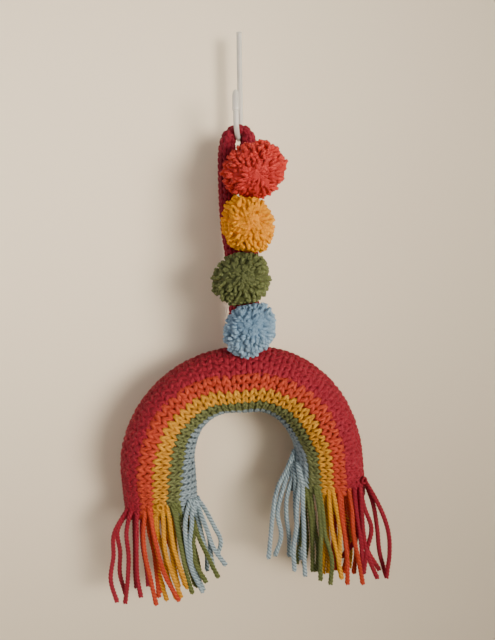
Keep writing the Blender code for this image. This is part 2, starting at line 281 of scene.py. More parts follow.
# Share of the arch's length, and how wide a stitch is there against the others
COLUMN_PITCH = (
    (0, 0.66), (0.08, 0.72), (0.15, 0.93), (0.28, 1), (0.5, 1.08), (0.75, 0.97), (0.9, 0.8), (1, 0.72)
)
# Share of the arch's length, and how much closer the rows lie there at the front
ROWS_DRAWN_IN = ((0.0, 0.2), (0.04, 0.2), (0.14, 0.0), (0.78, 0.0), (0.92, 0.2), (1.0, 0.2))
# At the right foot the inner rows slant: from this share of the arch's length, and in full this
# much further on, each row past the third inwards from the line is set back by a share of it
SLANT_FROM = 0.76
SLANT_OVER = 0.12
SLANT_ROW = 3
SLANT = 0.018
# Stripe, its first row counted inwards from the line, its rows, its yarn's relief and girth, and
# how dark the painted shade on the flanks of its yarn is
STRIPES = (
    ("red", -19, 17, 0.28, 1.30, 0.2),
    ("orange", -2, 2, 0.9, 1.16, 0.6),
    ("yellow", 0, 2, 0.9, 1.16, 0.6),
    ("green", 2, 2, 0.85, 1.16, 0.6),
    ("blue", 4, 5, 0.9, 0.96, 0.6),
)
# Deep and light tint of each stripe's yarn: uneven dye mixes between them, and painted shade
# goes towards the deep one
STRIPE_TINTS = {
    "red": ((0.175, 0.008, 0.015), (0.265, 0.014, 0.026)),
    "orange": ((0.24, 0.016, 0.008), (0.47, 0.056, 0.024)),
    "yellow": ((0.22, 0.075, 0.007), (0.60, 0.28, 0.022)),
    "green": ((0.050, 0.050, 0.016), (0.145, 0.160, 0.058)),
    "blue": ((0.105, 0.138, 0.158), (0.25, 0.31, 0.335)),
}


def smooth(values, place):
    """Catmull-Rom curve through the values, read at fractional places in the list."""
    values = np.asarray(values, float)
    ends = np.concatenate([[2 * values[0] - values[1]], values, [2 * values[-1] - values[-2]]])
    step = np.clip(place.astype(int), 0, len(values) - 2)
    t = place - step
    a, b, c, d = (ends[step + i] for i in range(4))
    return 0.5 * (
        2 * b + (c - a) * t + (2 * a - 5 * b + 4 * c - d) * t**2 + (3 * b - a - 3 * c + d) * t**3
    )


def arch_lookup():
    """Every column of the table on 1500 fine steps, and the share of the arch's length at each."""
    place = np.linspace(0, len(ARCH_ROWS_MM) - 1, 1500)
    columns = zip(ARCH_COLUMNS, zip(*ARCH_ROWS_MM))
    fine = {name: smooth(values, place) for name, values in columns}
    turn = np.radians(fine["turn"])
    x = ARCH_X + fine["middle"] * MM * np.cos(turn)
    z = ARCH_Z + fine["middle"] * MM * np.sin(turn) - fine["drop"] * MM
    along = np.concatenate([[0], np.cumsum(np.hypot(np.diff(x), np.diff(z)))])
    return along / along[-1], along[-1], {**fine, "turn": turn, "x": x, "z": z}


SHARE, ARCH_LENGTH, FINE = arch_lookup()


def arch_at(share, angle, lift):
    """Points and outward directions on the stuffed tube.

    share runs from the left foot to the right one. angle goes round the tube, 0 at the front
    and a quarter turn at the outer side. A point is the middle of the section, plus sine of
    the angle times the half width along the ray, less cosine of it times the half depth in Y,
    each half size with the lift added.
    """
    at = {name: np.interp(share, SHARE, values) for name, values in FINE.items()}
    wide = at["half_wide"] * MM + lift
    deep = at["half_deep"] * MM + lift
    ray_x, ray_z = np.cos(at["turn"]), np.sin(at["turn"])
    across, forward = np.sin(angle), np.cos(angle)
    point = np.stack(
        [at["x"] + wide * across * ray_x, HANG_Y - deep * forward, at["z"] + wide * across * ray_z], -1
    )
    out = np.stack([across / wide * ray_x, -forward / deep, across / wide * ray_z], -1)
    return point, unit(out)


def column_share(column):
    """Share of the arch's length at a place counted in columns of stitches from the left foot."""
    share = np.linspace(0, 1, 400)
    pitch = np.interp(share, *zip(*COLUMN_PITCH))
    count = np.concatenate([[0], np.cumsum(1 / pitch[1:])])
    return np.interp(column / COLUMNS, count / count[-1], share)


def stripe_angle(share):
    """Angle round the tube of the line between orange and yellow, smooth along the arch."""
    places, angles = zip(*STRIPE_LINE)
    steps = np.interp(share, places, np.arange(len(places)))
    return np.radians(smooth(angles, steps))


def row_angle(share, place):
    """Angle round the tube of a place counted in rows from that line.

    It falls by one even step a row, plus a sine of the place, which draws the rows together at
    the front of the feet.
    """
    drawn = np.interp(share, *zip(*ROWS_DRAWN_IN))
    return stripe_angle(share) - ROW_TURN * place + drawn * np.sin(ROW_TURN * place)


def stitch_rows(first, count, relief, girth, seed):
    """Middle lines of the yarn in rows of stocking stitch, one long wave of loops for each row.

    With t going once round for a stitch, the place along the row is t plus a double-speed sine
    that narrows each loop's neck and a slight single one, the place across the rows is a cosine
    with the neck at the outer side, and the depth is a double-speed cosine, which brings the two
    legs of the V forward and sinks head and foot. A slow wave, small random changes and the slant
    at the right foot are added. The last value is each point's painted shade.
    """
    rng = np.random.default_rng(seed)
    t = np.linspace(0, 2 * math.pi * COLUMNS, COLUMNS * POINTS_A_STITCH + 1)
    row = first + np.arange(count)[:, None]
    knots = np.linspace(0, t[-1], COLUMNS * 2 + 1)

    def uneven(size):
        """A slow random change along each row."""
        return size * np.stack([np.interp(t, knots, rng.normal(size=len(knots))) for _ in range(count)])

    column = t / (2 * math.pi) + STITCH_SPREAD * np.sin(2 * t) + STITCH_GATHER * np.sin(t) + uneven(0.05)
    share = column_share(np.clip(column, 0, COLUMNS))
    wave = 0.16 * np.sin(5.0 * share * math.pi + 0.35 * row) + 0.10 * np.sin(13.0 * share * math.pi)
    place = row + 0.5 - STITCH_REACH * np.cos(t) * (1 + uneven(0.10)) + wave + uneven(0.09)
    foot = np.clip((share - SLANT_FROM) / SLANT_OVER, 0, 1)
    share = share - SLANT * foot * np.clip(place - SLANT_ROW, 0, 5)
    angle = row_angle(share, place)
    dive = np.cos(2 * t) - 0.45 * np.cos(t)
    lift = -STITCH_SINK - 0.12 * MM * girth / relief - YARN_DEPTH * relief * dive + uneven(0.12 * MM)
    path, out = arch_at(share, angle, lift)
    bend_radius = np.interp(share, SHARE, FINE["middle"])
    wide = np.interp(share, SHARE, FINE["half_wide"])
    pitch = np.interp(share, *zip(*COLUMN_PITCH)) * ARCH_LENGTH / COLUMNS
    stretch = 1 + wide * np.sin(angle) / bend_radius
    radius = np.clip(YARN_SHARE * pitch * stretch, THIN_YARN, THICK_YARN) * girth * (1 - 0.12 * dive)
    # Painted shade: deeper where the yarn dives, and at the foot of each loop where it comes out of the
    # one below
    painted_foot_shade = 0.3 * np.clip(5 * np.cos(t) - 4, 0, 1)
    painted_shade = np.broadcast_to(0.5 + 0.42 * dive + painted_foot_shade, radius.shape)
    return path, radius, out, painted_shade


def yarn_group():
    """Node group for plied yarn: the ridges of its plies, loose fibres, uneven dye and painted shade.

    A ridge is the absolute sine of turns along and round the yarn, and the grooves between ridges
    are painted in shade. The colour goes from deep to light with ridge, dye and fibres multiplied,
    less where the point's painted shade attribute is high, and on the yarn's flanks, which are
    painted in shade too.
    """
    group = bpy.data.node_groups.new("plied_yarn", "ShaderNodeTree")
    for socket, kind, value in (
        ("Deep", "Color", (0.1, 0.1, 0.1, 1)),
        ("Light", "Color", (0.5, 0.5, 0.5, 1)),
        ("Plies", "Float", 3.0),
        ("Twists a metre", "Float", 105.0),
        ("Ridge", "Float", 0.45),
        ("Sunk shade", "Float", 0.8),
        ("Flank shade", "Float", 0.6),
    ):
        made = group.interface.new_socket(socket, in_out="INPUT", socket_type="NodeSocket" + kind)
        made.default_value = value
    for socket, kind in (("Color", "Color"), ("Height", "Float"), ("Roughness", "Float")):
        group.interface.new_socket(socket, in_out="OUTPUT", socket_type="NodeSocket" + kind)
    nodes, links = group.nodes, group.links
    given = nodes.new("NodeGroupInput")
    result = nodes.new("NodeGroupOutput")
    uv = nodes.new("ShaderNodeUVMap")
    uv.uv_map = "yarn"
    split = nodes.new("ShaderNodeSeparateXYZ")
    links.new(uv.outputs["UV"], split.inputs["Vector"])

    def math_node(kind, a, b=None):
        node = nodes.new("ShaderNodeMath")
        node.operation = kind
        for socket, value in zip(node.inputs, (a, b)):
            if value is None:
                continue
            if isinstance(value, (int, float)):
                socket.default_value = value
            else:
                links.new(value, socket)
        return node.outputs[0]

    def times(a, b):
        return math_node("MULTIPLY", a, b)

    turns = times(split.outputs["X"], given.outputs["Twists a metre"])
    waves = times(math_node("ADD", turns, split.outputs["Y"]), given.outputs["Plies"])
    ridge = math_node("ABSOLUTE", math_node("SINE", times(waves, math.pi)))
    dye = noise(nodes, links, 260, detail=3)
    fibres = noise(nodes, links, 2600, detail=3)
    # Painted light on the ply ridges and painted shade in the grooves between them
    lit = times(ridge, given.outputs["Ridge"])
    flat = math_node("SUBTRACT", 1.0, given.outputs["Ridge"])
    shade = math_node("ADD", lit, flat)
    dyed = math_node("ADD", times(dye, 0.7), 0.12)
    fuzz = math_node("ADD", times(fibres, 0.5), 0.75)
    # Painted shade from the mesh's attribute, in hollows where the yarn dives
    painted_shade = nodes.new("ShaderNodeAttribute")
    painted_shade.attribute_name = "painted_shade"
    raised = math_node("SUBTRACT", 1.0, times(painted_shade.outputs["Fac"], given.outputs["Sunk shade"]))
    # Painted shade on the yarn's flanks, turned away from the side its seam faces
    facing = math_node("COSINE", times(split.outputs["Y"], 2 * math.pi))
    flank = nodes.new("ShaderNodeMapRange")
    flank.interpolation_type = "SMOOTHSTEP"
    set_inputs(flank, {"From Min": 0.95, "From Max": 0.35})
    links.new(facing, flank.inputs["Value"])
    turned = math_node("SUBTRACT", 1.0, times(flank.outputs["Result"], given.outputs["Flank shade"]))
    grain = times(times(shade, dyed), times(fuzz, 2.1))
    mixing = times(grain, times(raised, turned))
    mix = nodes.new("ShaderNodeMix")
    mix.data_type = "RGBA"
    mix.clamp_factor = True
    links.new(mixing, mix.inputs[0])
    links.new(given.outputs["Deep"], mix.inputs[6])
    links.new(given.outputs["Light"], mix.inputs[7])
    height = math_node("ADD", lit, times(fibres, 0.35))
    rough = math_node("ADD", times(fibres, 0.4), 0.46)
    for socket, value in (("Color", mix.outputs[2]), ("Height", height), ("Roughness", rough)):
        links.new(value, result.inputs[socket])
    return group


plied_yarn = yarn_group()


def yarn_material(name, tints, ridge=0.45, bump_depth=0.35 * MM, painted_shade=0.8, flank=0.6, specular=0.14):
    """Matt plied yarn: its deep and its light tint, mixed by the node group with its painted shade."""
    deep, light = tints
    material, nodes, links, shader = new_material(name, 0.85, sheen=0.01, specular=specular)
    set_inputs(shader, {"Sheen Tint": (*(0.3 + 0.7 * c for c in light), 1)})
    group = nodes.new("ShaderNodeGroup")
    group.node_tree = plied_yarn
    set_inputs(group, {"Deep": (*deep, 1), "Light": (*light, 1), "Twists a metre": 105})
    set_inputs(group, {"Ridge": ridge, "Sunk shade": painted_shade, "Flank shade": flank})
    links.new(group.outputs["Color"], shader.inputs["Base Color"])
    links.new(group.outputs["Roughness"], shader.inputs["Roughness"])
    add_bump(nodes, links, group.outputs["Height"], shader, 0.7, bump_depth)
    return material


for number, (colour, first_row, row_count, relief, girth, shade) in enumerate(STRIPES):
    path, radius, out, painted_shade = stitch_rows(first_row, row_count, relief, girth, seed=10 + number)
    surface = tubes(path, radius, out, YARN_SIDES)
    stripe = add_mesh("knit_" + colour, *surface, painted_shade=np.repeat(painted_shade, YARN_SIDES))
    tints = STRIPE_TINTS[colour]
    stripe.data.materials.append(yarn_material("knit_" + colour, tints, painted_shade=shade + 0.2, flank=shade))
    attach(stripe, "root")


# Filling: soft stuffing pushed into the knitted tube, which gives the arch its round shape. The
# stitches lie on it, and it shows only in the gaps between them, painted in the stripe's deep tint
# as the shade that falls there.
BODY_LIFT = -1.95 * MM
BODY_SECTIONS = 160
BODY_SIDES = 72
# Painted shade in the gaps of the red stripe: its deep tint times this
RED_GAP_SHADE = 0.9


def arch_body():
    """A closed tube through the table's sections, each corner in the painted shade of the stripe over
    it.
    """
    share = np.linspace(0.004, 0.996, BODY_SECTIONS)
    angle = np.linspace(0, 2 * math.pi, BODY_SIDES, endpoint=False)
    points, _ = arch_at(share[:, None], angle[None, :], BODY_LIFT)
    quads, caps = ring_faces(BODY_SECTIONS, BODY_SIDES)
    round_by = stripe_angle(share)[:, None] - angle[None, :]
    drawn = np.interp(share, *zip(*ROWS_DRAWN_IN))[:, None]
    rows = (round_by + drawn * np.sin(round_by)) / ROW_TURN - 0.35
    outermost = STRIPES[0][1]
    rows = (rows - outermost) % ROWS_ROUND + outermost
    tint = np.ones((BODY_SECTIONS, BODY_SIDES, 4))
    for colour, first, number, *_ in STRIPES:
        inside = (rows >= first) & (rows < first + number)
        tint[inside, :3] = STRIPE_TINTS[colour][0]
        if colour == "red":
            tint[inside, :3] *= RED_GAP_SHADE
    return points.reshape(-1, 3), quads[:, ::-1], caps[:, ::-1], tint.reshape(-1, 4)


body_points, body_quads, body_caps, body_tint = arch_body()
filling = add_mesh("arch_filling", body_points, body_quads, body_caps)
painted_shades = filling.data.color_attributes.new("stripe", "FLOAT_COLOR", "POINT")
painted_shades.data.foreach_set("color", body_tint.astype(np.float32).ravel())
material, nodes, links, shader = new_material("gaps_between_stitches", 0.95)
stripe_shade = nodes.new("ShaderNodeAttribute")
stripe_shade.attribute_name = "stripe"
links.new(stripe_shade.outputs["Color"], shader.inputs["Base Color"])
filling.data.materials.append(material)
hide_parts("arch")
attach(filling, "root")


# Hanging loop: a knitted cord of red yarn, six stitches round, sewn to the crown with both ends
# and hung over the hook, where its own weight flattens it on the wire.
CORD_STITCHES = 6
CORD_ROW = 3.8 * MM
CORD_YARN = 1.12 * MM
CORD_SINK = 1.45 * MM
CORD_DEPTH = 1.2 * MM
CORD_POINTS = 14
# Deep and light tint of the cord's yarn; painted shade goes towards the deep one
CORD_TINTS = ((0.10, 0.005, 0.011), (0.25, 0.013, 0.027))
# Middle of the cord, from its left end over the hook to its right end, and half its size across
# and from front to back
LOOP_COLUMNS = ("x", "z", "half_across", "half_deep")
LOOP_ROWS_MM = (
    (-4.2, -195.7, 4.5, 4.7),
    (-3.6, -171.0, 4.5, 4.7),
    (-5.3, -140.0, 4.7, 4.8),
    (-7.3, -124.0, 4.9, 4.8),
    (-8.3, -105.0, 5.0, 4.8),
    (-8.4, -82.0, 5.0, 4.8),
    (-7.9, -70.8, 4.3, 4.9),
    (-5.4, -64.9, 3.3, 5.1),
    (0.2, -63.0, 2.7, 5.3),
    (4.2, -65.4, 3.0, 5.1),
    (5.0, -71.5, 4.6, 4.9),
    (4.6, -82.0, 5.1, 4.8),
    (5.4, -105.0, 5.0, 4.8),
    (4.7, -137.0, 4.8, 4.8),
    (4.7, -169.0, 4.6, 4.7),
    (6.0, -195.7, 4.5, 4.7),
)


def loop_lookup():
    """The loop's table on fine steps, with the length along it and its direction in X and Z."""
    place = np.linspace(0, len(LOOP_ROWS_MM) - 1, 1600)
    columns = zip(LOOP_COLUMNS, zip(*LOOP_ROWS_MM))
    fine = {name: smooth(values, place) * MM for name, values in columns}
    along = np.concatenate([[0], np.cumsum(np.hypot(np.diff(fine["x"]), np.diff(fine["z"])))])
    heading = np.stack([np.gradient(fine["x"]), np.gradient(fine["z"])])
    heading /= np.linalg.norm(heading, axis=0)
    return along, {**fine, "heading_x": heading[0], "heading_z": heading[1]}


LOOP_ALONG, LOOP_FINE = loop_lookup()


def loop_at(along, angle, lift):
    """Points and outward directions on the cord: an ellipse square to the loop's own direction."""
    at = {name: np.interp(along, LOOP_ALONG, values) for name, values in LOOP_FINE.items()}
    side = (at["half_across"] + lift) * np.cos(angle)
    deep = (at["half_deep"] + lift) * np.sin(angle)
    turn_x, turn_z = -at["heading_z"], at["heading_x"]
    point = np.stack([at["x"] + side * turn_x, HANG_Y - deep, at["z"] + side * turn_z], -1)
    return point, np.stack([np.cos(angle) * turn_x, -np.sin(angle), np.cos(angle) * turn_z], -1)


def cord_stitches(seed=3):
    """Middle line of one yarn that spirals up the cord in stocking stitch, six loops to a turn.

    With t going once round for a stitch, the place round the cord is t plus a double-speed sine,
    the place along it climbs evenly less a cosine, and the depth is a double-speed cosine.
    """
    rng = np.random.default_rng(seed)
    rows = int(LOOP_ALONG[-1] / CORD_ROW)
    stitches = rows * CORD_STITCHES
    t = np.linspace(0, 2 * math.pi * stitches, stitches * CORD_POINTS + 1)
    knots = np.linspace(0, t[-1], stitches + 1)
    uneven = np.interp(t, knots, rng.normal(size=len(knots)))
    column = t / (2 * math.pi) + 0.2 * np.sin(2 * t)
    angle = column / CORD_STITCHES * 2 * math.pi
    along = CORD_ROW * (t / (2 * math.pi) / CORD_STITCHES - 0.85 * np.cos(t) + 0.06 * uneven)
    along = np.clip(along, -0.6 * MM, LOOP_ALONG[-1] + 0.6 * MM)
    dive = np.cos(2 * t)
    path, out = loop_at(along, angle, -CORD_SINK - CORD_DEPTH * dive)
    radius = CORD_YARN * (1 - 0.22 * dive)
    # The last value is painted shade, deeper where the yarn dives
    return path[None], radius[None], out[None], 0.5 + 0.45 * dive


path, radius, out, painted_shade = cord_stitches()
surface = tubes(path, radius, out, YARN_SIDES)
knitted_cord = add_mesh("knitted_cord", *surface, painted_shade=np.repeat(painted_shade, YARN_SIDES))
knitted_cord.data.materials.append(yarn_material("knitted_cord", CORD_TINTS, painted_shade=0.7, flank=0.5))
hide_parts("hanging_loop")
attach(knitted_cord, "root")


# Pompoms: yarn wound on a small ring, tied round the middle, cut and trimmed, then sewn to the
# front of the loop. Each is a few hundred yarn ends that press on their neighbours.
POMPOM_CORE = 10.4 * MM
POMPOM_DEEP = 16.5 * MM
POMPOM_ENDS = 480
POMPOM_CLUMPS = 26
POMPOM_DENTS = 6
POMPOM_YARN = 1.12 * MM
SHORTEST_END = 6.5 * MM
# As shares of an end's length: a dent's depth, how uneven the trimming is, how low the parting
# lies, and how far out the end's root and its bend are
DENT_DEPTH = 0.08
UNEVEN_TRIM = 0.03
PARTING_DIP = 0.12
ROOT_AT = 0.22
BEND_AT = 0.74
# How far an end leans from the parting, how much further beside it, and how far at random
LEAN = 0.30
PARTING_LEAN = 0.55
STRAY_LEAN = 0.15
# Room that the tips and the heart keep from what presses on them
END_ROOM = 0.5 * MM
HEART_ROOM = 0.2 * MM
# Along each end, from the core to the tip: how thick it is, and how deep the painted shade on it is
END_GIRTH = np.array([0.4, 0.55, 0.7, 0.85, 1.0, 1.12, 0.85])
END_PAINTED_SHADE = np.array([1.0, 1.0, 1.0, 1.0, 0.85, 0.35, 0.0])
HEART_SHARE = 0.87
HEART_RINGS = 15
HEART_SIDES = 24
# Colour, place of the middle, long and short half size, how far the long one is turned up, and
# the direction from the middle to the parting that the ends lean away from
POMPOM_ROWS_MM = (
    ("orange", 8.3, -90.3, 19.8, 16.8, 25, (0.20, -0.85, -0.46)),
    ("yellow", 3.9, -122.5, 18.4, 15.4, -75, (0.15, -0.9, 0.05)),
    ("green", 0.1, -155.0, 18.4, 16.3, 32, (0.0, -0.9, 0.15)),
    ("blue", 4.2, -185.3, 17.8, 14.8, 60, (0.15, -0.9, 0.20)),
)
# Deep and light tint of each pompom's yarn; painted shade goes towards the deep one
POMPOM_TINTS = {
    "orange": ((0.36, 0.018, 0.018), (0.59, 0.046, 0.030)),
    "yellow": ((0.55, 0.180, 0.001), (0.78, 0.33, 0.001)),
    "green": ((0.046, 0.051, 0.016), (0.155, 0.178, 0.060)),
    "blue": ((0.095, 0.175, 0.265), (0.28, 0.40, 0.50)),
}
# What the pompoms press on: the sides of the loop, and the crown of the arch
LOOP_RADIUS = 4.9 * MM
CROWN_MIDDLE = 53.2 * MM
CROWN_RADIUS = 20.9 * MM


def loop_middle(z, left):
    """X of the middle of the loop's left or right side at these heights."""
    top = int(np.argmax(LOOP_FINE["z"]))
    rows = slice(0, top + 1) if left else slice(top, None)
    level, across = LOOP_FINE["z"][rows], LOOP_FINE["x"][rows]
    order = np.argsort(level)
    return np.interp(z, level[order], across[order])


def pompom_centres():
    """Each pompom's core rests on the nearer side of the loop, from the front."""
    reach = POMPOM_CORE + LOOP_RADIUS + 0.3 * MM
    centres = []
    for _, x, z, *_ in POMPOM_ROWS_MM:
        sides = [x * MM - loop_middle(z * MM, left) for left in (True, False)]
        offset = max(math.sqrt(max(reach**2 - side**2, 0)) for side in sides)
        centres.append(np.array([x * MM, HANG_Y - offset, z * MM]))
    return centres


def room_around(points, others):
    """Distance of points to what presses on a pompom: the loop, the crown and its neighbours."""
    sides = [
        np.hypot(points[:, 0] - loop_middle(points[:, 2], left), points[:, 1] - HANG_Y) - LOOP_RADIUS
        for left in (True, False)
    ]
    crown = np.hypot(points[:, 1] - HANG_Y, points[:, 2] - ARCH_Z - CROWN_MIDDLE) - CROWN_RADIUS
    room = np.minimum(np.minimum(*sides), crown)
    for centre, other in others:
        between = other - centre
        apart = np.linalg.norm(between)
        room = np.minimum(room, 0.5 * apart - (points - centre) @ between / apart)
    return room


def pompom_ends(centre, half, tilt, others, parting, seed):
    """Middle lines of one pompom's yarn ends, how near each is to the parting, the random source.

    Directions follow a sunflower spiral over the ball, shaken a little. An end is a curve on
    three points: a root in the core, a bend and the tip. Root and bend are swung towards the
    parting and away from the nearest clump's middle, so that the end leans away from the
    parting and its tip draws to its clump. The tip stops at the trimmed outline, a turned
    ellipsoid with a few shallow dents, or where something presses on it.
    """
    rng = np.random.default_rng(seed)
    number = np.arange(POMPOM_ENDS) + 0.5
    level = 1 - 2 * number / POMPOM_ENDS
    turn = number * math.pi * (3 - math.sqrt(5))
    flat = np.sqrt(1 - level**2)
    out = np.stack([flat * np.cos(turn), level, flat * np.sin(turn)], 1)
    out = unit(out + rng.normal(size=out.shape) * 0.07)
    long_way = out[:, 0] * math.cos(tilt) + out[:, 2] * math.sin(tilt)
    short_way = -out[:, 0] * math.sin(tilt) + out[:, 2] * math.cos(tilt)
    ways = np.stack([long_way, out[:, 1], short_way], 1)
    length = 1 / np.linalg.norm(ways / half, axis=1)
    dents = unit(rng.normal(size=(POMPOM_DENTS, 3)))
    nearness = np.clip((out @ dents.T - 0.88) / 0.12, 0, 1)
    length *= 1 - DENT_DEPTH * nearness.max(1) + UNEVEN_TRIM * rng.normal(size=len(out))
    parting = unit(np.array(parting))
    near = out @ parting
    length *= 1 - PARTING_DIP * np.clip((near - 0.75) / 0.25, 0, 1)
    for _ in range(40):
        tips = centre + out * length[:, None]
        length = np.where(room_around(tips, others) < END_ROOM, length - 0.35 * MM, length)
    kept = length > SHORTEST_END
    out, length, near = out[kept], length[kept][:, None], near[kept][:, None]
    beside = out - near * parting
    beside /= np.linalg.norm(beside, axis=1, keepdims=True) + 0.05
    clumps = unit(rng.normal(size=(POMPOM_CLUMPS, 3)))
    pull = clumps[np.argmax(out @ clumps.T, axis=1)] - out
    stray = np.cross(out, rng.normal(size=out.shape))
    lean = beside * (LEAN + PARTING_LEAN * np.clip(near, 0, 1)) + STRAY_LEAN * stray
    bend = BEND_AT * unit(out - 0.55 * lean - 0.2 * pull)
    root = ROOT_AT * unit(out - 1.2 * lean)
    t = np.linspace(0, 1, len(END_GIRTH))[None, :, None]
    curve = (1 - t) ** 2 * root[:, None] + 2 * t * (1 - t) * bend[:, None] + t**2 * out[:, None]
    return centre + curve * length[:, None], near, rng


def pompom_heart(centre, half, tilt, others, seed):
    """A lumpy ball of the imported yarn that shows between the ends, at a share of the outline."""
    rng = np.random.default_rng(seed)
    level = np.linspace(0.004, math.pi - 0.004, HEART_RINGS)[:, None]
    turn = np.linspace(0, 2 * math.pi, HEART_SIDES, endpoint=False)[None]
    size = HEART_SHARE * (1 + 0.05 * rng.normal(size=(HEART_RINGS, HEART_SIDES)))
    long_way = half[0] * size * np.sin(level) * np.cos(turn)
    deep = half[1] * size * np.cos(level) * np.ones_like(turn)
    short_way = half[2] * size * np.sin(level) * np.sin(turn)
    x = long_way * math.cos(tilt) - short_way * math.sin(tilt)
    z = long_way * math.sin(tilt) + short_way * math.cos(tilt)
    reach = np.stack([x, deep, z], -1).reshape(-1, 3)
    for _ in range(30):
        pressed = room_around(centre + reach, others) < HEART_ROOM
        reach[pressed] *= 0.97
    quads, caps = ring_faces(HEART_RINGS, HEART_SIDES)
    return centre + reach, np.roll(quads[:, ::-1], 1, axis=1), caps[:, ::-1]


pompom_middles = pompom_centres()
for number, (colour, _, _, half_long, half_short, tilt, parting) in enumerate(POMPOM_ROWS_MM):
    middle = pompom_middles[number]
    half = np.array([half_long * MM, POMPOM_DEEP, half_short * MM])
    beside = [(middle, pompom_middles[k]) for k in (number - 1, number + 1) if 0 <= k < 4]
    path, near, rng = pompom_ends(middle, half, math.radians(tilt), beside, parting, 40 + number)
    name = "pompom_" + colour
    coat = yarn_material(name, POMPOM_TINTS[colour], ridge=0.3, painted_shade=0.9, flank=0.5, specular=0.16)
    core = pompom_heart(middle, half, math.radians(tilt), beside, number)
    # The heart lies in painted shade throughout
    heart = add_mesh(name + "_heart", *core, painted_shade=0.7 * np.ones(len(core[0])))
    heart.data.materials.append(coat)
    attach(heart, "root")
    girth = POMPOM_YARN * END_GIRTH * (0.85 + 0.3 * rng.random((len(path), 1)))
    facing_out = np.array(parting) + 0.2 * rng.normal(size=(len(path), 1, 3)) + 0 * path
    # Painted shade: deep at each end's root and near the parting, none at its tip
    shade = np.clip(END_PAINTED_SHADE + 0.8 * np.clip(near, 0, 1) ** 2, 0, 1)
    painted_shade = np.repeat(shade, YARN_SIDES, axis=1)
    pompom = add_mesh(name + "_yarn", *tubes(path, girth, facing_out, YARN_SIDES), painted_shade=painted_shade)
    pompom.data.materials.append(coat)
    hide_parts(name)
    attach(pompom, "root")


# Fringe: lengths of three-ply yarn drawn through the foot of each stripe, six to a colour and eight
# in the right red. They lie on the drawn-in end of the foot, bunch where they leave it, and hang
# loose and crossed.
FRINGE_YARN = 1.52 * MM
FRINGE_TWIST = 6.6 * MM
PLIES = 3
PLY_SIDES = 5
STRAND_POINTS = 100
# How far a strand's root is sunk in the knitting, how high above the foot's end it starts to come
# off the knitting, and how far it sways in depth
ROOT_SINK = 2.4 * MM
FOOT_BLEND = 9 * MM
SWAY = 0.35 * MM
# Deep and light tint of each strand's yarn; painted shade goes towards the deep one
STRAND_TINTS = {
    "red": ((0.16, 0.007, 0.014), (0.28, 0.014, 0.028)),
    "orange": ((0.29, 0.022, 0.010), (0.47, 0.054, 0.020)),
    "yellow": ((0.36, 0.135, 0.005), (0.64, 0.30, 0.018)),
    "green": ((0.062, 0.068, 0.020), (0.126, 0.146, 0.047)),
    "blue": ((0.105, 0.145, 0.165), (0.32, 0.40, 0.43)),
}
# Depth of the layers of strands where they leave the foot, and at their tips: front, middle,
# back, one that hangs before the rest, and one that comes forward between them
LAYER_Y = (
    (-16.8 * MM, -14.5 * MM),
    (-13.8 * MM, -9.8 * MM),
    (-3.5 * MM, -4.6 * MM),
    (-17.5 * MM, -17.8 * MM),
    (-11.5 * MM, -18.0 * MM),
)
# X that strands which begin above their tops draw towards there, by leg and layer
FRINGE_GATHER = {("right", 0): 31.5, ("right", 1): 29.0}
